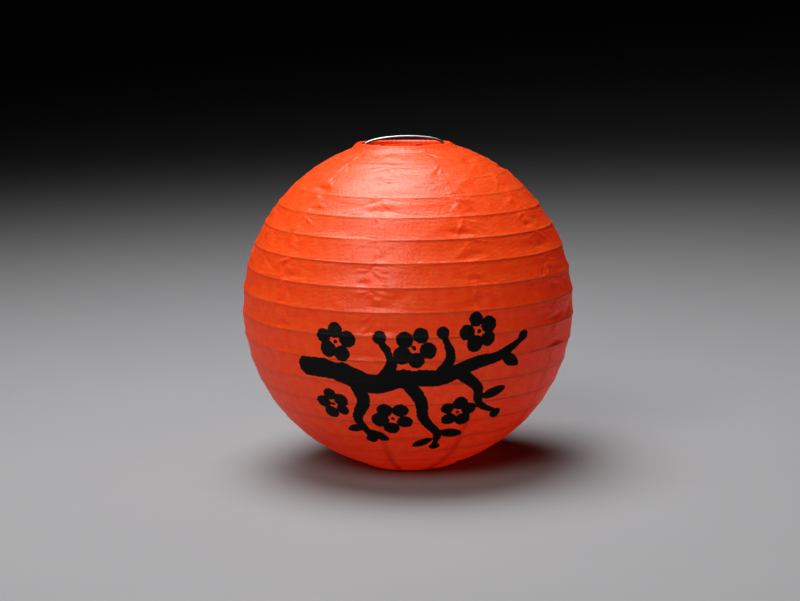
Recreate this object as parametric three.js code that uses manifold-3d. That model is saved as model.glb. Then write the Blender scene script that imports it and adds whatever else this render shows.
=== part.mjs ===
// Round paper lantern: ten tissue gores over one spiral wire rib, a wire ring in a folded
// paper hem at each mouth, and a bent wire expander that holds the globe open.
// Millimetres, +Z up, standing on the bottom hem, axis through the origin.
// Azimuths are in degrees from the front (-Y), growing towards +X.
import * as THREE from "three";
import { mergeVertices } from "three/addons/utils/BufferGeometryUtils.js";
import Module from "manifold-3d";

// Driving dimensions
const globeDiameter = 200; // outside of the paper
const mouthDiameter = 54.6; // centreline of each mouth's ring
const goreCount = 10;
const firstSeam = -12; // azimuth of one seam
const paperThickness = 0.4;
const ribTurns = 18;
const ribWire = 0.8;
const ribStart = -84; // azimuth where the rib leaves the top ring, on a seam
const ringWire = 1.4;
const hemThickness = 0.5;
const hemDepth = 2.7; // height of the folded hem
const frameWire = 1.6;
const archRise = 4.6; // how far the top arch stands over the hem
const archInset = 1.2; // from the shoulders in to the arch's feet
const archSink = 1; // how far the arch's feet start below the hem's top
const legInset = 3.4; // from the shoulders in to the straight legs
const footInset = 2.6; // from the lower shoulders in to the bottom bar's ends
const shoulderDrop = 1; // from a hem's edge to the wire of its shoulder
const bendCut = 1.8; // how far each bend starts from its corner
const clearance = 0.3; // between any two pieces

// Mesh fineness
const facetsPerGore = 4;
const rowsPerGore = 20;
const stepsPerTurn = 20;

// Derived dimensions
const globeRadius = globeDiameter / 2;
const mouthRadius = mouthDiameter / 2;
const hemWall = ringWire / 2 + clearance + hemThickness; // ring centre to the hem's outside
const hemInside = mouthRadius - hemWall;
const hemOutside = mouthRadius + hemWall;
const ringToCentre = Math.sqrt(globeRadius ** 2 - mouthRadius ** 2);
const bottomRingZ = hemWall;
const centreZ = bottomRingZ + ringToCentre;
const topRingZ = centreZ + ringToCentre;
const hemTopZ = topRingZ + hemWall;
const ribRadius = globeRadius - paperThickness - 2 * clearance - ribWire / 2;
const facets = goreCount * facetsPerGore;

const rad = THREE.MathUtils.degToRad;
const tissuePaper = new THREE.MeshStandardMaterial({ color: 0xd2431c, roughness: 0.55 });
const hemPaper = new THREE.MeshStandardMaterial({ color: 0xb83216, roughness: 0.6 });
const ribSteel = new THREE.MeshStandardMaterial({ color: 0x8d8b86, roughness: 0.4, metalness: 1 });
const frameSteel = new THREE.MeshStandardMaterial({ color: 0xb9bcbd, roughness: 0.3, metalness: 1 });

const wasm = await Module();
wasm.setup();

function solidOf(geometry) {
  const bare = geometry.clone().deleteAttribute("normal").deleteAttribute("uv");
  const merged = mergeVertices(bare, 1e-4);
  return new wasm.Manifold(
    new wasm.Mesh({
      numProp: 3,
      vertProperties: merged.attributes.position.array,
      triVerts: new Uint32Array(merged.index.array),
    }),
  );
}

function geometryOf(solid) {
  const mesh = solid.getMesh();
  return new THREE.BufferGeometry()
    .setAttribute("position", new THREE.BufferAttribute(mesh.vertProperties, 3))
    .setIndex(new THREE.BufferAttribute(mesh.triVerts, 1));
}

function named(name, geometry, material) {
  const mesh = new THREE.Mesh(geometry, material);
  mesh.name = name;
  return mesh;
}

// A closed profile of [radius, height] pairs, turned about the lantern's axis.
function turned(profile) {
  const points = [...profile, profile[0]].map(([r, z]) => new THREE.Vector2(r, z));
  return new THREE.LatheGeometry(points, facets, rad(firstSeam), 2 * Math.PI).rotateX(Math.PI / 2);
}

// A wire's centreline through listed points, with one tube section at each of them.
class WirePath extends THREE.Curve {
  constructor(points, closed = false) {
    super();
    this.points = closed ? [...points, points[0]] : points;
    this.closed = closed;
  }
  getPoint(t) {
    const along = t * (this.points.length - 1);
    const i = Math.min(Math.floor(along), this.points.length - 2);
    return this.points[i].clone().lerp(this.points[i + 1], along - i);
  }
  getPointAt(u) {
    return this.getPoint(u);
  }
  getTangentAt(u) {
    const last = this.points.length - 1;
    const i = Math.round(u * last);
    const before = i > 0 ? i - 1 : this.closed ? last - 1 : 0;
    const after = i < last ? i + 1 : this.closed ? 1 : last;
    return this.points[after].clone().sub(this.points[before]).normalize();
  }
}

// The globe's paper: a thin shell that stops just outside each hem, cut along the seams.
function gores() {
  const inner = globeRadius - paperThickness;
  const reach = Math.acos((hemOutside + clearance) / (inner * Math.cos(Math.PI / facets)));
  const arc = (radius, way) =>
    Array.from({ length: rowsPerGore + 1 }, (_, i) => {
      const latitude = way * reach * ((2 * i) / rowsPerGore - 1);
      return [radius * Math.cos(latitude), centreZ + radius * Math.sin(latitude)];
    });
  const shell = solidOf(turned([...arc(globeRadius, 1), ...arc(inner, -1)]));

  const half = 180 / goreCount;
  const toward = (azimuth, length) => [length * Math.sin(rad(azimuth)), -length * Math.cos(rad(azimuth))];
  return Array.from({ length: goreCount }, (_, i) => {
    const middle = firstSeam + half + (i * 360) / goreCount;
    const [x, y] = toward(middle, clearance / 2 / Math.sin(rad(half)));
    const sector = new THREE.Shape([new THREE.Vector2(x, y)].concat(
      [half, 0, -half].map((turn) => {
        const [u, v] = toward(middle + turn, globeDiameter);
        return new THREE.Vector2(x + u, y + v);
      }),
    ));
    const wedge = new THREE.ExtrudeGeometry(sector, { depth: 2 * centreZ, bevelEnabled: false });
    const gore = geometryOf(shell.intersect(solidOf(wedge)));
    return named(`paper_gore_${String(i + 1).padStart(2, "0")}`, gore, tissuePaper);
  });
}

// One wire wound from the top mouth to the bottom mouth, just inside the paper.
function spiralRib() {
  const reach = Math.acos((hemOutside + ribWire / 2) / ribRadius);
  const steps = ribTurns * stepsPerTurn;
  const points = Array.from({ length: steps + 1 }, (_, i) => {
    const latitude = reach * (1 - (2 * i) / steps);
    const azimuth = rad(ribStart + (360 * ribTurns * i) / steps);
    const radius = ribRadius * Math.cos(latitude);
    return new THREE.Vector3(
      radius * Math.sin(azimuth),
      -radius * Math.cos(azimuth),
      centreZ + ribRadius * Math.sin(latitude),
    );
  });
  const section = new THREE.Shape(
    Array.from({ length: 5 }, (_, i) => {
      const angle = (i * 2 * Math.PI) / 5;
      return new THREE.Vector2(Math.cos(angle), Math.sin(angle)).multiplyScalar(ribWire / 2);
    }),
  );
  const extrudePath = new WirePath(points);
  const wire = new THREE.ExtrudeGeometry(section, { steps, extrudePath, bevelEnabled: false });
  return named("spiral_rib", wire, ribSteel);
}

function mouthRing(name, height) {
  const ring = new THREE.TorusGeometry(mouthRadius, ringWire / 2, 6, facets);
  return named(name, ring.translate(0, 0, height), frameSteel);
}

// Paper folded over the ring wire, open on the side that faces the globe's middle.
function hem(name, ringZ, up) {
  const rim = up * hemWall;
  const edge = up * (hemWall - hemDepth);
  const fold = up * (hemWall - hemThickness);
  const section = [
    [hemOutside, edge],
    [hemOutside, rim],
    [hemInside, rim],
    [hemInside, edge],
    [hemInside + hemThickness, edge],
    [hemInside + hemThickness, fold],
    [hemOutside - hemThickness, fold],
    [hemOutside - hemThickness, edge],
  ].map(([r, z]) => [r, ringZ + z]);
  return named(name, turned(up > 0 ? section : section.reverse()), hemPaper);
}

// A closed loop of wire: an arch over the top mouth, a shoulder at each ring, two straight
// legs and a bar across the bottom mouth. The shoulders pass inside the hems.
function expanderFrame() {
  const shoulder = hemInside - clearance - frameWire / 2;
  const leg = shoulder - legInset;
  const archWidth = shoulder - archInset;
  const archFoot = hemTopZ - archSink;
  const archTop = hemTopZ + archRise - frameWire / 2;
  const upper = hemTopZ - hemDepth - shoulderDrop - frameWire / 2;
  const lower = hemDepth + shoulderDrop + frameWire / 2;
  const bar = clearance + frameWire / 2;

  const arch = Array.from({ length: 7 }, (_, i) => {
    const turn = rad(15 * i);
    return [archWidth * Math.sin(turn), archFoot + (archTop - archFoot) * Math.cos(turn)];
  });
  const bends = [
    [shoulder, upper],
    [leg, upper - legInset],
    [leg, lower + legInset],
    [shoulder, lower],
    [shoulder - footInset, bar],
  ];
  // each bend is drawn as a short curve of four points
  const side = [...arch];
  bends.forEach(([x, z], i) => {
    const corner = new THREE.Vector2(x, z);
    const before = new THREE.Vector2(...(i ? bends[i - 1] : arch.at(-1))).sub(corner);
    const after = new THREE.Vector2(...(bends[i + 1] ?? [0, bar])).sub(corner);
    const cut = Math.min(bendCut, 0.45 * before.length(), 0.45 * after.length());
    const curve = new THREE.QuadraticBezierCurve(
      corner.clone().add(before.setLength(cut)),
      corner,
      corner.clone().add(after.setLength(cut)),
    );
    curve.getPoints(3).forEach((p) => side.push([p.x, p.y]));
  });
  const right = side.map(([x, z]) => new THREE.Vector3(x, 0, z));
  const left = side.slice(1).reverse().map(([x, z]) => new THREE.Vector3(-x, 0, z));
  const loop = new WirePath([...right, ...left], true);
  const wire = new THREE.TubeGeometry(loop, loop.points.length - 1, frameWire / 2, 6, true);
  return named("expander_frame", wire, frameSteel);
}

const group = new THREE.Group();
group.name = "paper_lantern";
group.add(
  ...gores(),
  spiralRib(),
  mouthRing("top_ring", topRingZ),
  mouthRing("bottom_ring", bottomRingZ),
  hem("top_hem", topRingZ, 1),
  hem("bottom_hem", bottomRingZ, -1),
  expanderFrame(),
);

export default group;
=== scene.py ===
import math

import bpy
import numpy as np
from mathutils import Matrix, Vector


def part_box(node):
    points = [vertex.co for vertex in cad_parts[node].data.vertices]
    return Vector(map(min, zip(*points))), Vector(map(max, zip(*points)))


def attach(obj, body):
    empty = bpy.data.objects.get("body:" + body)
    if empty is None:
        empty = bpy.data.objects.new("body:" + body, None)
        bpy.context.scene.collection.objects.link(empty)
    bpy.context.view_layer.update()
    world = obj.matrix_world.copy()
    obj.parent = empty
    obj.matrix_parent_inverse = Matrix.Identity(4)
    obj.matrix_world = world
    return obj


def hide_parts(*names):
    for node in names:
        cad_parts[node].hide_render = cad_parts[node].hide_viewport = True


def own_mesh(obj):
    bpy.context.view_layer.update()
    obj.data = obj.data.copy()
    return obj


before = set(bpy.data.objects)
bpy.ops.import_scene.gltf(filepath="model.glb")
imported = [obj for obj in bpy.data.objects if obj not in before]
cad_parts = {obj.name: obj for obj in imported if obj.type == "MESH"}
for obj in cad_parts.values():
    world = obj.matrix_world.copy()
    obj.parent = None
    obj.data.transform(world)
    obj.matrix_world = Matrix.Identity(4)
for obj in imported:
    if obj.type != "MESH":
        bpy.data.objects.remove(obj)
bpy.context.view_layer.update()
print("frame loaded")

# the dictionaries hold metres and degrees unless a note says otherwise; the functions take radians
# what the pieces share is read from the frame


def nodePoints(node):
    return np.array([v.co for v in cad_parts[node].data.vertices])


def axisReach(node):
    # nearest and furthest distance of a turned piece from the lantern's axis
    points = nodePoints(node)
    away = np.hypot(points[:, 0], points[:, 1])
    return float(away.min()), float(away.max())


def smooth(low, high, x):
    t = np.clip((x - low) / (high - low), 0, 1)
    return t * t * (3 - 2 * t)


goreNodes = sorted(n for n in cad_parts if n.startswith("paper_gore"))
goreLow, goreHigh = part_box(goreNodes[0])
centreZ = (goreLow.z + goreHigh.z) / 2
globeRadius = float(np.linalg.norm(nodePoints(goreNodes[0]) - [0, 0, centreZ], axis=1).max())
hemInside, hemOutside = axisReach("top_hem")
hemTop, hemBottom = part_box("top_hem")[1].z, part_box("top_hem")[0].z
ringInside, ringOutside = axisReach("top_ring")
ringRadius, ringWire = (ringInside + ringOutside) / 2, ringOutside - ringInside
topRingZ = (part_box("top_ring")[0].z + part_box("top_ring")[1].z) / 2
bottomRingZ = (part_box("bottom_ring")[0].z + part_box("bottom_ring")[1].z) / 2

rib = {
    "turns": 18,
    "start": -84,  # azimuth in degrees from the front, where the rib leaves the top mouth
    "wire": 0.0008,
    "reach": 72.7,  # latitude of its two ends
    "paperGap": 0.00006,
    "stepsPerTurn": 96,
    "sides": 8,
}

gore = {
    "firstSeam": -12,  # azimuth of one seam
    "lap": 0.0036,  # how far each gore covers the one before it
    "lapLift": 0.00012,
    "lapEdge": (-0.0004, 0.0012),  # the lift fades out between these distances past the seam
    "hemGap": 0.0001,
    "columns": 100,
    "lapColumns": 8,
    "columnCrowding": 0.35,  # how much closer together they are at the seams
    "rowsPerBand": 24,
    "rowCrowding": 0.5,  # and the rows at the ribs
    "sag": 0.00062,  # how far the paper bows in between two turns of the rib
    "slackWaves": ((0.22, 14.5, 1), (0.15, 41, 0), (0.1, 97, 0)),  # share, radians per turn, start
    "mouthSlack": 0.22,  # what is left of the sag towards the mouths
    "lowerSlack": 0.5,  # and below, where the globe's weight pulls it
    "ridge": 0.0003,  # how softly it bends over the rib
    "heldReach": 0.0011,  # creases fade out this close to the wire
    "ribMark": 0.00017,  # how far the wire pushes it out
    "ribMarkReach": 0.00065,
    "groove": 0.00009,  # the dip where it leaves the wire on the lower side
    "grooveAt": 0.0015,
    "grooveReach": 0.0009,
    "seamPeak": 0.00016,  # how far the stiffer seams stand out between the turns
    "seamReach": 0.007,
    "ripple": 0.00006,
    "flare": 0.0013,  # how far its ends turn up against a hem
    "flareReach": 0.0045,
}

pucker = {
    "seed": 11,
    "calmLatitude": -12,  # below it the paper is pulled smoother
    "tightness": (0.55, 1.3),  # how strongly a seam is gathered, band by band
    # wide soft pockets just above each turn of the rib
    "pocketCounts": [0, 1, 1, 2],
    "pocketSpread": 0.0045,
    "pocketLength": (0.004, 0.0085),
    "pocketWidth": (0.0012, 0.0024),
    "pocketDepth": 0.0011,
    # sharp creases that fan out from each seam
    "creasesPerBand": 7,
    "creaseSpread": 0.0012,
    "creaseDip": (0.08, 1.05),  # radians below level
    "creaseLength": (0.0018, 0.0062),
    "creaseWidth": (0.00045, 0.0010),
    "creaseHeight": 0.00080,
    # soft shallow dents all over
    "dentsPerBand": 4,
    "dentLength": (0.005, 0.012),
    "dentWidth": (0.0016, 0.0034),
    "dentDepth": 0.00016,
    # fine, nearly level wrinkles
    "wrinklesPerBand": 7,
    "wrinkleSpread": 0.012,
    "wrinkleLength": (0.004, 0.011),
    "wrinkleWidth": (0.0004, 0.0009),
    "wrinkleHeight": 0.00016,
    # short folds round each mouth
    "mouthFolds": 46,
    "foldLatitude": (66, 73),
    "foldLength": (0.002, 0.006),
    "foldWidth": (0.0005, 0.0010),
    "foldHeight": 0.0002,
}

mouth = {
    "lift": 0.0003,  # how far the top mouth stands off its true place
    "frontUp": 0.0008,
    "rightDown": 0.0006,
    "saddle": 0.0002,  # the expander's shoulders push its sides up
}


def mouthLift(azimuth):
    askew = mouth["frontUp"] * np.cos(azimuth) - mouth["rightDown"] * np.sin(azimuth)
    return mouth["lift"] + askew - mouth["saddle"] * np.cos(2 * azimuth)


bandHeight = globeRadius * math.radians(2 * rib["reach"]) / rib["turns"]


def ribLatitude(turn):
    return math.radians(rib["reach"]) * (1 - 2 * turn / rib["turns"])


def knotLatitude(knot, azimuth):
    # knot 0 is the top mouth's edge, then every crossing of the rib, then the bottom mouth's edge
    edge = math.acos((hemOutside + gore["hemGap"]) / globeRadius)
    turn = (azimuth - math.radians(rib["start"])) / (2 * math.pi) + knot - 1
    inner = np.clip(ribLatitude(turn), -edge, edge)
    return np.where(knot == 0, edge, np.where(knot == rib["turns"] + 1, -edge, inner))


def globePoints(radius, azimuth, latitude):
    flat = radius * np.cos(latitude)
    return np.stack(
        [flat * np.sin(azimuth), -flat * np.cos(azimuth), centreZ + radius * np.sin(latitude)], -1
    )


# meshes


def gridMesh(name, points, closedAcross=False, closedAlong=False):
    # a mesh from a grid of points, rows by columns, facing (next row) x (next column)
    rows, columns = points.shape[:2]
    index = np.arange(rows * columns).reshape(rows, columns)
    if closedAlong:
        index = np.vstack([index, index[:1]])
    if closedAcross:
        index = np.hstack([index, index[:, :1]])
    faces = np.stack([index[:-1, :-1], index[1:, :-1], index[1:, 1:], index[:-1, 1:]], -1)
    mesh = bpy.data.meshes.new(name)
    mesh.from_pydata(points.reshape(-1, 3).tolist(), [], faces.reshape(-1, 4).tolist())
    mesh.polygons.foreach_set("use_smooth", [True] * len(mesh.polygons))
    mesh.update()
    piece = bpy.data.objects.new(name, mesh)
    bpy.context.collection.objects.link(piece)
    return piece


def addFloats(piece, name, values):
    attribute = piece.data.attributes.new(name, "FLOAT", "POINT")
    attribute.data.foreach_set("value", values.astype(np.float32).ravel())


def wireTube(name, centres, across, radius, sides, closed=False):
    # a round wire along centres; across is a direction that is never along the wire
    if closed:
        along = np.roll(centres, -1, 0) - np.roll(centres, 1, 0)
    else:
        along = np.gradient(centres, axis=0)
    along /= np.linalg.norm(along, axis=1)[:, None]
    side = np.cross(along, across)
    side /= np.linalg.norm(side, axis=1)[:, None]
    other = np.cross(side, along)
    turn = np.arange(sides) * 2 * math.pi / sides
    ring = np.cos(turn)[None, :, None] * side[:, None] + np.sin(turn)[None, :, None] * other[:, None]
    points = centres[:, None] + radius * ring
    if not closed:
        # the cut ends close on a point at the middle of the wire
        points = np.concatenate([points[:1] * 0 + centres[0], points, points[:1] * 0 + centres[-1]])
    return gridMesh(name, points, closedAcross=True, closedAlong=closed)


# paper


def seamPuckers():
    # each is [azimuth, latitude, half length, half width, lean, height, sharpness]; they gather at
    # the seams, where the gores' edges are gathered in
    random = np.random.default_rng(pucker["seed"])
    found = []

    def drawn(size):
        return random.uniform(*pucker[size])

    def add(turnOfRib, seam, across, down, length, width, lean, height, sharp):
        # across and down are metres from where the seam crosses the rib
        latitude = ribLatitude(turnOfRib) - down / globeRadius
        azimuth = seam + across / (globeRadius * math.cos(latitude))
        found.append([azimuth, latitude, length, width, lean, height, sharp])

    for number in range(len(goreNodes)):
        seam = math.radians(gore["firstSeam"] + number * 360 / len(goreNodes))
        start = (seam - math.radians(rib["start"])) / (2 * math.pi) % 1
        for band in range(rib["turns"] - 1):
            turn = start + band
            latitude = float(ribLatitude(turn + 0.5))
            goreWidth = math.pi * 2 * globeRadius * math.cos(latitude) / len(goreNodes)
            calm = 0.3 + 0.7 * float(smooth(-0.12, 0.25, latitude - math.radians(pucker["calmLatitude"])))
            tight = calm * (0.45 + 0.55 * math.cos(latitude)) * drawn("tightness")

            for _ in range(random.choice(pucker["pocketCounts"])):
                across = random.normal(0, pucker["pocketSpread"])
                down = random.uniform(0.62, 0.84) * bandHeight
                length, width = drawn("pocketLength"), drawn("pocketWidth")
                lean = random.normal(0, 0.1)
                depth = tight * random.uniform(0.3, 1) * pucker["pocketDepth"]
                add(turn, seam, across, down, length, width, lean, -depth, 0)

            top = random.uniform(0.02, 0.2) * bandHeight
            for _ in range(pucker["creasesPerBand"]):
                side = random.choice([-1, 1])
                dip, length = drawn("creaseDip"), drawn("creaseLength")
                reach = random.uniform(0.5, 1.9) * length
                height = tight * random.uniform(0.2, 1) * random.choice([1, 1, -0.8])
                across = side * reach * math.cos(dip) + random.normal(0, 1) * pucker["creaseSpread"]
                down = top + reach * math.sin(dip) + random.choice([0, 0, 0.3]) * bandHeight
                width = drawn("creaseWidth")
                add(turn, seam, across, down, length, width, -side * dip, height * pucker["creaseHeight"], 1)

            for _ in range(pucker["dentsPerBand"]):
                across = random.uniform(0, 1) * goreWidth
                down = random.uniform(0.25, 0.75) * bandHeight
                length, width = drawn("dentLength"), drawn("dentWidth")
                lean = random.normal(0, 0.3)
                depth = random.normal(0, 1) * calm * pucker["dentDepth"]
                add(turn, seam, across, down, length, width, lean, depth, 0)

            for _ in range(pucker["wrinklesPerBand"]):
                across = random.normal(0, 1) * pucker["wrinkleSpread"]
                down = random.choice([random.uniform(0.08, 0.5), random.uniform(0.8, 0.95)]) * bandHeight
                length, width = drawn("wrinkleLength"), drawn("wrinkleWidth")
                lean = random.normal(0, 0.07)
                height = (0.4 + 0.6 * tight) * random.normal(0, 1) * pucker["wrinkleHeight"]
                add(turn, seam, across, down, length, width, lean, height, 1)

    for pole in (1, -1):
        for fold in range(pucker["mouthFolds"]):
            azimuth = (fold + random.uniform(-0.3, 0.3)) * 2 * math.pi / pucker["mouthFolds"]
            latitude = pole * math.radians(drawn("foldLatitude"))
            length, width = drawn("foldLength"), drawn("foldWidth")
            lean = math.pi / 2 + random.normal(0, 0.12)
            height = random.uniform(-1, 1) * pucker["foldHeight"]
            found.append([azimuth, latitude, length, width, lean, height, 1])
    print(len(found), "puckers,", round(1000 * bandHeight, 1), "mm between turns")
    return np.array(found)


def puckerHeight(azimuth, latitude, puckers):
    height = np.zeros_like(azimuth)
    highest, lowest = latitude.max(1), latitude.min(1)
    middle, half = (azimuth.max() + azimuth.min()) / 2, (azimuth.max() - azimuth.min()) / 2
    for about, up, length, width, lean, lift, sharp in puckers:
        about += 2 * math.pi * round((middle - about) / (2 * math.pi))
        reach = 2.6 * length / globeRadius
        if abs(about - middle) > half + reach / math.cos(up):
            continue
        rows = slice(np.searchsorted(-lowest, -(up + reach)), np.searchsorted(-highest, -(up - reach)))
        across = globeRadius * math.cos(up) * (azimuth[rows] - about)
        rise = globeRadius * (latitude[rows] - up)
        x = across * math.cos(lean) + rise * math.sin(lean)
        y = rise * math.cos(lean) - across * math.sin(lean)
        if sharp:
            shape = np.exp(-np.sqrt(y * y + 0.04 * width ** 2) / width)
        else:
            shape = np.exp(-((y / width) ** 2))
        height[rows] += lift * np.exp(-((x / length) ** 2)) * shape
    return height


def bowedPaper(azimuth, latitude, band, share, puckers):
    # the paper's distance from the globe's centre
    width = globeRadius * (knotLatitude(band, azimuth) - knotLatitude(band + 1, azimuth))
    turn = azimuth / (2 * math.pi) + band
    slack = 1 + sum(size * np.sin(rate * turn + start) for size, rate, start in gore["slackWaves"])
    slack *= 1 - (1 - gore["mouthSlack"]) * smooth(0.45, 1.0, abs(latitude))
    slack *= gore["lowerSlack"] + (1 - gore["lowerSlack"]) * smooth(-0.45, -0.05, latitude)
    full = np.clip(width / bandHeight, 0, 1) ** 1.5
    nearest = np.minimum(share, 1 - share) * width
    bend = np.sqrt(nearest ** 2 + gore["ridge"] ** 2) - gore["ridge"]
    x = np.clip(bend / np.maximum(width, 1e-6), 0, 0.5)
    sag = 4 * x * (1 - x) * gore["sag"] * slack * full

    onRib = np.where(share < 0.5, band > 0, band < rib["turns"])
    mark = gore["ribMark"] * np.exp(-((nearest / gore["ribMarkReach"]) ** 2)) * onRib
    below = share * width - gore["grooveAt"]
    dip = gore["groove"] * np.exp(-((below / gore["grooveReach"]) ** 2)) * full * (band > 0)
    mark, dip = mark * (0.35 + 0.65 * slack), dip * slack

    span = 2 * math.pi / len(goreNodes)
    fromSeam = (azimuth - math.radians(gore["firstSeam"]) + span / 2) % span - span / 2
    seamNumber = np.round((azimuth - math.radians(gore["firstSeam"])) / span)
    peak = gore["seamPeak"] * (0.6 + 0.4 * np.sin(2.7 * band + 4.1 * (seamNumber % len(goreNodes))))
    peak *= np.exp(-globeRadius * np.cos(latitude) * abs(fromSeam) / gore["seamReach"])
    held = np.clip(nearest / gore["heldReach"], 0, 1)
    ripple = np.sin(260 * latitude + 9 * np.sin(5 * azimuth)) * np.sin(23 * azimuth + 40 * latitude)
    loose = puckerHeight(azimuth, latitude, puckers) + gore["ripple"] * ripple
    return globeRadius - sag + mark - dip + held * (loose + peak * np.sin(math.pi * share) * full)


def goreSheet(number, puckers):
    span = 2 * math.pi / len(goreNodes)
    seam = math.radians(gore["firstSeam"] + (number * 360) / len(goreNodes))
    # the turn count starts at the rib's start, so azimuths run on from there
    seam = math.radians(rib["start"]) + (seam - math.radians(rib["start"]) + 1e-6) % (2 * math.pi)

    step = np.arange(gore["rowsPerBand"]) / gore["rowsPerBand"]
    step = step - gore["rowCrowding"] * np.sin(2 * math.pi * step) / (2 * math.pi)
    bands = rib["turns"] + 1
    band = np.append(np.repeat(np.arange(bands), len(step)), bands - 1)[:, None]
    share = np.append(np.tile(step, bands), 1)[:, None]

    lapShare = np.linspace(1, 0, gore["lapColumns"], endpoint=False)
    goreShare = np.linspace(0, 1, gore["columns"] + 1)
    goreShare = goreShare - gore["columnCrowding"] * np.sin(2 * math.pi * goreShare) / (2 * math.pi)
    seamLatitude = (1 - share) * knotLatitude(band, seam) + share * knotLatitude(band + 1, seam)
    lapAzimuth = seam - gore["lap"] * lapShare[None] / (globeRadius * np.cos(seamLatitude))
    bodyAzimuth = np.broadcast_to(seam + span * goreShare, (len(band), len(goreShare)))
    azimuth = np.hstack([lapAzimuth, bodyAzimuth])
    band, share = (np.broadcast_to(a, azimuth.shape) for a in (band, share))
    latitude = (1 - share) * knotLatitude(band, azimuth) + share * knotLatitude(band + 1, azimuth)

    radius = bowedPaper(azimuth, latitude, band, share, puckers)
    pastSeam = globeRadius * np.cos(latitude) * (azimuth - seam)
    raised = 0.4 + 0.6 * smooth(-gore["lap"], -0.6 * gore["lap"], pastSeam)
    raised *= 1 - smooth(*gore["lapEdge"], pastSeam)
    radius += gore["lapLift"] * raised

    points = globePoints(radius, azimuth, latitude)
    away = np.hypot(points[..., 0], points[..., 1]) - hemOutside
    flare = np.clip(1 - away / gore["flareReach"], 0, 1) ** 2
    rise = np.where(latitude > 0, gore["flare"] + mouthLift(azimuth), -gore["flare"])
    points[..., 2] += rise * flare
    piece = gridMesh(f"gore_sheet_{number + 1:02d}", points)
    addFloats(piece, "inkDistance", motifDistance(azimuth, latitude))
    flat = np.stack([np.cos(latitude) * (azimuth - seam - span / 2), latitude], -1) * globeRadius
    layer = piece.data.uv_layers.new(name="flatPattern")
    corner = np.zeros(len(piece.data.loops), np.int32)
    piece.data.loops.foreach_get("vertex_index", corner)
    placed = flat.reshape(-1, 2)[corner] + [0.2 * number, 0]  # so that no two gores share a pattern
    layer.data.foreach_set("uv", placed.astype(np.float32).ravel())

    node = goreNodes[number]
    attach(piece, "base")
    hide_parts(node)
    return piece


# the painted branch

motif = {
    "azimuth": 2,  # where its middle is, in degrees
    "latitude": -17.5,
    "wobble": 0.0011,  # unevenness of the brush's edge
    # the rest is in mm right of and above its middle, with angles in radians
    "branches": [  # brush strokes, each through points of [right, up, half width]
        [[-67, 2, 6.5], [-48, 4, 6.8], [-26, -2, 6.2], [-6, 3, 5.6], [14, 2, 5.0], [34, 8, 4.2],
         [50, 9, 3.4], [68, 15, 2.0]],
        [[-38, 2, 4.8], [-31, -14, 4.0], [-35, -28, 3.2], [-28, -42, 2.2]],
        [[-8, 3, 4.4], [2, -12, 3.8], [4, -26, 3.2], [12, -40, 2.6], [11, -50, 1.6]],
        [[24, 5, 4.0], [36, -8, 3.2], [37, -20, 2.6], [47, -30, 1.6]],
        [[-20, 0, 4.0], [-14, 13, 3.2], [-20, 24, 2.0]],
        [[12, 2, 3.8], [20, 14, 3.0], [17, 26, 1.8]],
    ],
    # middle, size and turn
    "blossoms": [([-48, 22], 12.5, 0.3), ([-1, 21], 13, 1.1), ([38, 27], 12.5, 0.5),
                 ([-14, -26], 13, 0.9), ([24, -24], 11.5, 0.1), ([-50, -21], 11.5, 0.7)],
    # foot, angle, length and width
    "leaves": [([-30, -38], -0.5, 16, 7), ([12, -38], -0.35, 17, 7.5), ([38, -16], 0.1, 18, 7.5),
               ([10, -44], -2.6, 15, 7), ([52, 10], -0.75, 17, 7.5), ([-30, -34], -2.6, 14, 6.5)],
    # middle and radius
    "buds": [([-21, 27], 4.0), ([16, 29], 3.8), ([69, 17], 3.6), ([49, -33], 3.8),
             ([-27, -46], 3.6), ([11, -53], 3.4)],
}


def brushPath(points, piecesEach=8):
    # a smooth run through the points; each is [x, y, half width] in metres
    points = np.array(points)
    ends = np.vstack([2 * points[0] - points[1], points, 2 * points[-1] - points[-2]])
    run = []
    for a, b, c, d in zip(ends, ends[1:], ends[2:], ends[3:]):
        for t in np.arange(piecesEach) / piecesEach:
            run.append(0.5 * (2 * b + (c - a) * t + (2 * a - 5 * b + 4 * c - d) * t ** 2
                              + (3 * b - a - 3 * c + d) * t ** 3))
    return np.vstack(run + [points[-1]])


def strokeDistance(x, y, points):
    nearest = np.full_like(x, 1.0)
    run = brushPath(points)
    for (ax, ay, aw), (bx, by, bw) in zip(run, run[1:]):
        dx, dy = bx - ax, by - ay
        t = np.clip(((x - ax) * dx + (y - ay) * dy) / (dx * dx + dy * dy + 1e-12), 0, 1)
        nearest = np.minimum(nearest, np.hypot(x - ax - t * dx, y - ay - t * dy) - (aw + t * (bw - aw)))
    return nearest


def leafDistance(x, y, at, angle, length, width):
    # a pointed leaf between two arcs
    u = (x - at[0]) * math.cos(angle) + (y - at[1]) * math.sin(angle) - length / 2
    v = (y - at[1]) * math.cos(angle) - (x - at[0]) * math.sin(angle)
    radius = (length ** 2 + width ** 2) / (4 * width)
    offset = radius - width / 2
    return np.maximum(np.hypot(u, v - offset), np.hypot(u, v + offset)) - radius


def blossomDistance(x, y, at, size, turn):
    # five round petals, just touching, about a bare middle with a small dot in it
    nearest = np.hypot(x - at[0], y - at[1]) - 0.1 * size
    for petal in range(5):
        angle = turn + petal * 2 * math.pi / 5 + 0.07 * math.sin(5 * petal + 9 * turn)
        reach = (0.6 + 0.04 * math.sin(3 * petal + 7 * turn)) * size
        px, py = at[0] + reach * math.cos(angle), at[1] + reach * math.sin(angle)
        broad = (0.385 + 0.03 * math.sin(2 * petal + 4 * turn)) * size
        nearest = np.minimum(nearest, np.hypot(x - px, y - py) - broad)
    return nearest


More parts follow.
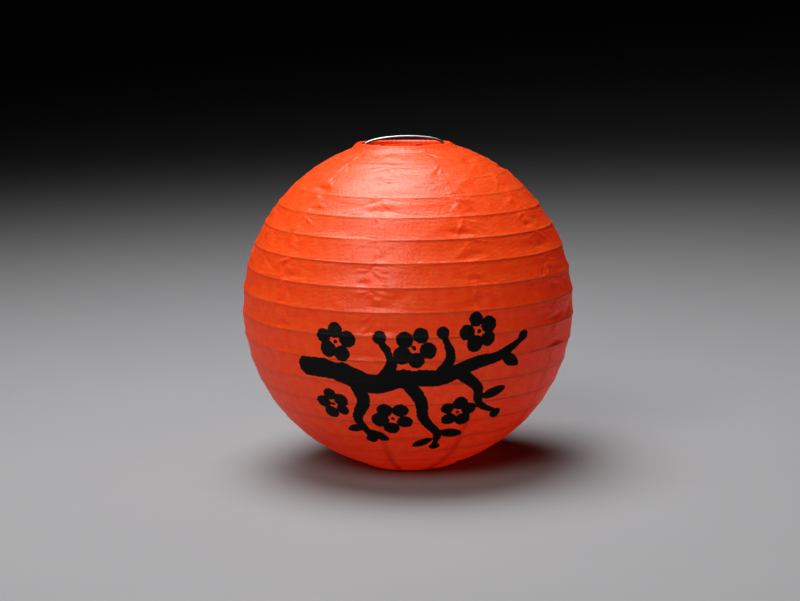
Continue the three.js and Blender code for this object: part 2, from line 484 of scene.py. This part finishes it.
def motifDistance(azimuth, latitude):
    # distance from the paint's edge in metres, below 0 inside it
    middle = np.array([0.0, math.radians(motif["latitude"])])
    turn = (azimuth - math.radians(motif["azimuth"]) + math.pi) % (2 * math.pi) - math.pi
    up = math.sin(middle[1]) * np.sin(latitude) + math.cos(middle[1]) * np.cos(latitude) * np.cos(turn)
    away = np.arccos(np.clip(up, -1, 1))
    stretch = globeRadius * away / np.maximum(np.sin(away), 1e-6)
    x = stretch * np.cos(latitude) * np.sin(turn)
    y = stretch * (math.cos(middle[1]) * np.sin(latitude)
                   - math.sin(middle[1]) * np.cos(latitude) * np.cos(turn))
    mm = 0.001
    nearest = np.full_like(x, 0.05)
    for points in motif["branches"]:
        nearest = np.minimum(nearest, strokeDistance(x, y, np.array(points) * mm))
    for at, size, angle in motif["blossoms"]:
        petals = blossomDistance(x, y, np.array(at) * mm, size * mm, angle)
        clear = np.hypot(x - at[0] * mm, y - at[1] * mm) - 1.03 * size * mm
        nearest = np.where(clear < 0, petals, np.minimum(nearest, petals))
    for at, angle, length, width in motif["leaves"]:
        nearest = np.minimum(nearest, leafDistance(x, y, np.array(at) * mm, angle, length * mm, width * mm))
    for at, size in motif["buds"]:
        nearest = np.minimum(nearest, np.hypot(x - at[0] * mm, y - at[1] * mm) - size * mm)
    return np.where(up > 0.35, np.minimum(nearest, 0.05), 0.05)


puckers = seamPuckers()
goreSheets = [goreSheet(number, puckers) for number in range(len(goreNodes))]
print("paper gores made")


# rib, rings and hems


def spiralRib():
    steps = rib["turns"] * rib["stepsPerTurn"]
    turn = np.arange(steps + 1) / rib["stepsPerTurn"]
    azimuth = math.radians(rib["start"]) + 2 * math.pi * turn
    radius = globeRadius - rib["paperGap"] - rib["wire"] / 2
    centres = globePoints(radius, azimuth, ribLatitude(turn))
    outward = centres - [0, 0, centreZ]
    piece = wireTube("rib_wire", centres, outward, rib["wire"] / 2, rib["sides"])
    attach(piece, "base")
    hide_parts("spiral_rib")
    return piece


def mouthRing(name, node, body, height, steps=180):
    turn = np.arange(steps) * 2 * math.pi / steps
    outward = np.stack([np.cos(turn), np.sin(turn), 0 * turn], -1)
    centres = ringRadius * outward + [0, 0, height]
    if body == "top_rim":
        centres[:, 2] += mouthLift(turn + math.pi / 2)
    piece = wireTube(name, centres, outward, ringWire / 2, 12, closed=True)
    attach(piece, body)
    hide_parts(node)
    return piece


hem = {
    "paper": 0.00025,
    "pleats": 52,
    "pleatDepth": 0.00013,
    "raggedEdge": 0.00025,
    "steps": 480,
}


def foldedHem(name, node, body, ringZ, up):
    # paper wrapped round the ring wire, with small pleats where its edge is gathered
    outer = (hemOutside - hemInside) / 2
    middle = (hemOutside + hemInside) / 2
    leg = (hemTop - hemBottom) - outer
    arc = np.linspace(0, math.pi, 15)
    drop = np.linspace(leg, 0, 7)[:-1]

    def wrap(radius):
        side = np.concatenate([np.full(6, radius), radius * np.cos(arc), np.full(6, -radius)])
        return side, np.concatenate([-drop, radius * np.sin(arc), -drop[::-1]])

    sideOut, riseOut = wrap(outer)
    sideIn, riseIn = wrap(outer - hem["paper"])
    side = np.concatenate([sideOut, sideIn[::-1]])
    rise = np.concatenate([riseOut, riseIn[::-1]])

    turn = np.arange(hem["steps"])[:, None] * 2 * math.pi / hem["steps"]
    pleat = np.sin(hem["pleats"] * turn + 2.2 * np.sin(3 * turn)) * (0.6 + 0.4 * np.sin(7 * turn + 1))
    fine = np.sin(131 * turn + 3 * np.sin(5 * turn))
    fade = smooth(-leg, 0.3 * outer, rise)[None] ** 0.7
    depth = hem["pleatDepth"] * (0.7 * pleat + 0.3 * fine - 1) * fade
    pinch = 1 + depth / outer
    ragged = hem["raggedEdge"] * (np.sin(9 * turn) + np.sin(23 * turn + 2)) * 0.5
    cut = np.where(rise[None] < -0.8 * leg, ragged, 0) + 0 * turn
    away = middle + side[None] * pinch
    height = ringZ + up * (np.where(rise[None] > 0, rise[None] * pinch, rise[None]) + abs(cut))
    if up > 0:
        height = height + mouthLift(turn + math.pi / 2)
    points = np.stack([away * np.cos(turn), away * np.sin(turn), height], -1)
    if up < 0:
        points = points[::-1]
    piece = gridMesh(name, points, closedAcross=True, closedAlong=True)
    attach(piece, body)
    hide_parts(node)
    return piece


ribPiece = spiralRib()
ringPieces = [
    mouthRing("top_ring_wire", "top_ring", "top_rim", topRingZ),
    mouthRing("bottom_ring_wire", "bottom_ring", "base", bottomRingZ),
]
hemPieces = [
    foldedHem("top_folded_hem", "top_hem", "top_rim", topRingZ, 1),
    foldedHem("bottom_folded_hem", "bottom_hem", "base", bottomRingZ, -1),
]
print("rib, rings and hems made")


# expander

expander = {
    "wire": 0.0016,
    "clearance": 0.0003,  # from the shoulders to the inside of a hem
    "archInset": 0.0012,
    "archSink": 0.001,
    "legInset": 0.0034,
    "footInset": 0.0026,
    "shoulderDrop": 0.001,
    "bendCut": 0.0018,
}


def expanderWire():
    half = expander["wire"] / 2
    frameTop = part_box("expander_frame")[1].z
    hemDepth = hemTop - hemBottom
    shoulder = hemInside - expander["clearance"] - half
    leg = shoulder - expander["legInset"]
    upper = hemBottom - expander["shoulderDrop"] - half
    lower = hemDepth + expander["shoulderDrop"] + half
    bar = expander["clearance"] + half
    archFoot = hemTop - expander["archSink"]
    turn = np.linspace(0, math.pi / 2, 25)
    arch = np.stack([(shoulder - expander["archInset"]) * np.sin(turn),
                     archFoot + (frameTop - half - archFoot) * np.cos(turn)], -1)
    corners = np.array([arch[-1], [shoulder, upper], [leg, upper - expander["legInset"]],
                        [leg, lower + expander["legInset"]], [shoulder, lower],
                        [shoulder - expander["footInset"], bar], [0, bar]])
    side = list(arch)
    for before, corner, after in zip(corners, corners[1:], corners[2:]):
        toBefore, toAfter = before - corner, after - corner
        reachBefore, reachAfter = np.linalg.norm(toBefore), np.linalg.norm(toAfter)
        cut = min(expander["bendCut"], 0.45 * reachBefore, 0.45 * reachAfter)
        start, end = corner + toBefore * cut / reachBefore, corner + toAfter * cut / reachAfter
        for t in np.linspace(0, 1, 9):
            side.append((1 - t) ** 2 * start + 2 * t * (1 - t) * corner + t * t * end)
    right = np.array([[x, 0, z] for x, z in side])
    left = right[1:][::-1] * [-1, 1, 1]
    centres = np.vstack([right, left])
    piece = wireTube("expander_wire", centres, np.array([[0.0, 1.0, 0.0]]), half, 14, closed=True)
    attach(piece, "expander")
    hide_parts("expander_frame")
    return piece


expanderPiece = expanderWire()
print("expander made")

for piece in goreSheets + [ribPiece]:
    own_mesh(piece)


# materials


def linear(colour):
    # an sRGB hex colour as linear red, green, blue and alpha
    parts = [int(colour[i:i + 2], 16) / 255 for i in (1, 3, 5)]
    return [p / 12.92 if p <= 0.04045 else ((p + 0.055) / 1.055) ** 2.4 for p in parts] + [1]


def addNode(material, kind, inputs=(), **settings):
    tree = material.node_tree
    node = tree.nodes.new("ShaderNode" + kind)
    for name, value in settings.items():
        setattr(node, name, value)
    for socket, value in dict(inputs).items():
        if isinstance(value, bpy.types.NodeSocket):
            tree.links.new(value, node.inputs[socket])
        else:
            node.inputs[socket].default_value = value
    return node


def newMaterial(name):
    material = bpy.data.materials.new(name)
    material.use_nodes = True
    material.node_tree.nodes.clear()
    return material


def finishMaterial(material, shader):
    addNode(material, "OutputMaterial", {"Surface": shader})
    return material


tissue = {
    "lit": "#fb5b1b",  # the dye where light meets it
    "thin": "#ff7630",  # thinner places between the fibres
    "through": "#ff2e0c",  # light that has come through the sheet
    "ink": "#0a0706",
    "fibre": 0.35,  # mm across the fibre streaks, drawn coarser than real fibres so that they show
    "fibreLength": 30,  # how many times longer they are
    "cloud": 6.0,  # mm across the cloudy patches of the sheet
    "crinkle": 2.6,  # mm between fine crinkles
    "roughness": 0.42,
    "glaze": 0.5,  # share of the sheet's face that the hot calender has glazed
    "glazeRoughness": 0.36,
    "lightThrough": 0.48,
    "fibreRelief": 0.00006,
    "crinkleRelief": 0.00045,
    "inkRoughness": 0.68,
    "inkShine": 0.3,
    "inkEdge": 0.00018,  # how softly the paint's edge ends
    "bristles": 420.0,  # bristle marks in a metre
}


def tissuePaper(painted):
    # machine-glazed tissue paper, dyed in the pulp: a soft gloss over fine fibre streaks, and light
    # comes through it redder than it is reflected; the paint on it is flat black poster paint
    material = newMaterial("glazedTissuePaper" if painted else "foldedTissuePaper")
    if painted:
        place = addNode(material, "UVMap", uv_map="flatPattern").outputs["UV"]
    else:
        place = addNode(material, "TexCoord").outputs["Object"]
    fine = 1000 / tissue["fibre"]
    streaks = addNode(material, "Mapping", {
        "Vector": place, "Scale": (fine / tissue["fibreLength"], fine, fine)})
    fibre = addNode(material, "TexNoise", {
        "Vector": streaks.outputs[0], "Scale": 1.0, "Detail": 3.0, "Roughness": 0.6})
    cloud = addNode(material, "TexNoise", {
        "Vector": place, "Scale": 1000 / tissue["cloud"], "Detail": 4.0, "Roughness": 0.55})
    crinkle = addNode(material, "TexNoise", {
        "Vector": place, "Scale": 1000 / tissue["crinkle"], "Detail": 2.0, "Distortion": 1.2})
    density = addNode(material, "Math", {0: fibre.outputs[0], 1: cloud.outputs[0]}, operation="ADD")
    thin = addNode(material, "MapRange", {
        0: density.outputs[0], 1: 0.7, 2: 1.35, 3: 0.0, 4: 0.85}, interpolation_type="SMOOTHSTEP")
    dye = addNode(material, "MixRGB", {
        0: thin.outputs[0], 1: linear(tissue["lit"]), 2: linear(tissue["thin"])})
    glow = addNode(material, "MixRGB", {
        0: thin.outputs[0], 1: linear(tissue["through"]), 2: linear(tissue["thin"])})
    grain = addNode(material, "Bump", {
        "Strength": 0.35, "Distance": tissue["fibreRelief"], "Height": fibre.outputs[0]})
    relief = addNode(material, "Bump", {
        "Strength": 0.5, "Distance": tissue["crinkleRelief"], "Height": crinkle.outputs[0],
        "Normal": grain.outputs[0]})
    face = addNode(material, "BsdfPrincipled", {
        "Base Color": dye.outputs[0], "Roughness": tissue["roughness"], "IOR": 1.5,
        "Coat Weight": tissue["glaze"], "Coat Roughness": tissue["glazeRoughness"],
        "Normal": relief.outputs[0], "Coat Normal": relief.outputs[0]})
    back = addNode(material, "BsdfTranslucent", {"Color": glow.outputs[0], "Normal": relief.outputs[0]})
    sheet = addNode(material, "MixShader", {
        0: tissue["lightThrough"], 1: face.outputs[0], 2: back.outputs[0]})
    if painted:
        edge = addNode(material, "Attribute", attribute_name="inkDistance").outputs["Fac"]
        bristle = addNode(material, "TexNoise", {
            "Vector": place, "Scale": tissue["bristles"], "Detail": 5.0, "Roughness": 0.62})
        wobble = addNode(material, "Math", {
            0: bristle.outputs[0], 1: 2 * motif["wobble"], 2: -motif["wobble"]}, operation="MULTIPLY_ADD")
        worn = addNode(material, "Math", {0: edge, 1: wobble.outputs[0]}, operation="ADD")
        covered = addNode(material, "MapRange", {
            0: worn.outputs[0], 1: -tissue["inkEdge"], 2: tissue["inkEdge"], 3: 1.0, 4: 0.0})
        paint = addNode(material, "BsdfPrincipled", {
            "Base Color": linear(tissue["ink"]), "Roughness": tissue["inkRoughness"], "IOR": 1.45,
            "Specular IOR Level": tissue["inkShine"], "Normal": relief.outputs[0]})
        sheet = addNode(material, "MixShader", {
            0: covered.outputs[0], 1: sheet.outputs[0], 2: paint.outputs[0]})
    return finishMaterial(material, sheet.outputs[0])


steel = {
    "zinc": "#9a9d9f",
    "dull": "#76797b",
    "grain": 1.4,  # mm between the zinc's soft patches
    "drawMark": 0.12,  # mm across the draw marks
    "markDepth": 0.00003,
    "roughness": (0.28, 0.44),
}


def galvanisedWire(name, dullness):
    # drawn mild-steel wire with a thin coat of zinc: bright, slightly mottled, with fine draw marks
    material = newMaterial(name)
    place = addNode(material, "TexCoord").outputs["Object"]
    patch = addNode(material, "TexNoise", {
        "Vector": place, "Scale": 1000 / steel["grain"], "Detail": 3.0})
    marks = addNode(material, "TexNoise", {
        "Vector": place, "Scale": 1000 / steel["drawMark"], "Detail": 2.0})
    colour = addNode(material, "MixRGB", {
        0: patch.outputs[0], 1: linear(steel["zinc"]), 2: linear(steel["dull"])})
    smoothest, roughest = (r + dullness for r in steel["roughness"])
    rough = addNode(material, "MapRange", {
        0: patch.outputs[0], 1: 0.3, 2: 0.7, 3: smoothest, 4: roughest})
    bump = addNode(material, "Bump", {
        "Strength": 0.25, "Distance": steel["markDepth"], "Height": marks.outputs[0]})
    shader = addNode(material, "BsdfPrincipled", {
        "Base Color": colour.outputs[0], "Metallic": 1.0, "Roughness": rough.outputs[0],
        "Normal": bump.outputs[0]})
    return finishMaterial(material, shader.outputs[0])


paintedPaper, plainPaper = tissuePaper(True), tissuePaper(False)
brightWire, ribSteel = galvanisedWire("galvanisedWire", 0.0), galvanisedWire("annealedRibWire", 0.12)
for pieces, material in ((goreSheets, paintedPaper), (hemPieces, plainPaper), ([ribPiece], ribSteel),
                         (ringPieces + [expanderPiece], brightWire)):
    for piece in pieces:
        piece.data.materials.append(material)
print("materials made")


# floor, light and camera

studio = {
    "floor": "#807f7d",
    "floorCloud": 0.92,  # how dark its faint patches are beside it
    "floorCloudScale": 6.0,  # patches in a metre
    "floorRoughness": 0.75,
    "world": "#dfe4ea",
    "worldStrength": 0.003,
    # soft boxes: place, side in metres, watts, spread in degrees, colour
    "overhead": ((-0.25, 0.20, 1.75), 1.3, 14.4, 84, "#f6f8ff"),
    "front": ((-0.75, -1.5, 1.45), 1.3, 5.0, 66, "#ffffff"),
}


def paleFloor():
    # smooth pale plaster: even and matt, with faint cloudy patches
    material = newMaterial("palePlasterFloor")
    place = addNode(material, "TexCoord").outputs["Object"]
    patches = addNode(material, "TexNoise", {
        "Vector": place, "Scale": studio["floorCloudScale"], "Detail": 5.0})
    pale = linear(studio["floor"])
    colour = addNode(material, "MixRGB", {
        0: patches.outputs[0], 1: pale, 2: [c * studio["floorCloud"] for c in pale]})
    shader = addNode(material, "BsdfPrincipled", {
        "Base Color": colour.outputs[0], "Roughness": studio["floorRoughness"]})
    finishMaterial(material, shader.outputs[0])
    corners = np.array([[[-9, -4, 0], [9, -4, 0]], [[-9, 14, 0], [9, 14, 0]]], float)
    floor = gridMesh("floor", corners[::-1])
    floor.data.materials.append(material)


def softBox(name, place, side, watts, spread, colour):
    light = bpy.data.lights.new(name, "AREA")
    light.size = side
    light.energy = watts
    light.spread = math.radians(spread)
    light.color = linear(colour)[:3]
    lamp = bpy.data.objects.new(name, light)
    lamp.location = place
    aim = Vector((0, 0, centreZ)) - Vector(place)
    lamp.rotation_euler = aim.to_track_quat("-Z", "Y").to_euler()
    bpy.context.collection.objects.link(lamp)


view = {
    "elevation": 9.4,
    "distance": 14.5,  # globe radii
    "lens": 107.5,  # mm
    "roll": 1.6,
    "aim": (-0.0049, 0.0017),  # how far right of and above the globe's centre the camera looks
}


def mainCamera():
    elevation = math.radians(view["elevation"])
    back = Vector((0, -math.cos(elevation), math.sin(elevation)))
    turn = back.to_track_quat("Z", "Y").to_matrix() @ Matrix.Rotation(math.radians(-view["roll"]), 3, "Z")
    target = Vector((0, 0, centreZ)) + turn @ Vector((*view["aim"], 0))
    camera = bpy.data.objects.new("camera", bpy.data.cameras.new("camera"))
    camera.data.lens = view["lens"]
    camera.data.sensor_width = 36
    camera.location = target + back * view["distance"] * globeRadius
    camera.rotation_euler = turn.to_euler()
    bpy.context.collection.objects.link(camera)
    bpy.context.scene.camera = camera


paleFloor()
softBox("overheadBox", *studio["overhead"])
softBox("frontBox", *studio["front"])
world = bpy.data.worlds.new("studio")
world.use_nodes = True
world.node_tree.nodes["Background"].inputs[0].default_value = linear(studio["world"])
world.node_tree.nodes["Background"].inputs[1].default_value = studio["worldStrength"]
bpy.context.scene.world = world
bpy.context.scene.view_settings.view_transform = "Standard"
bpy.context.scene.view_settings.look = "Medium High Contrast"
mainCamera()
print("studio made")
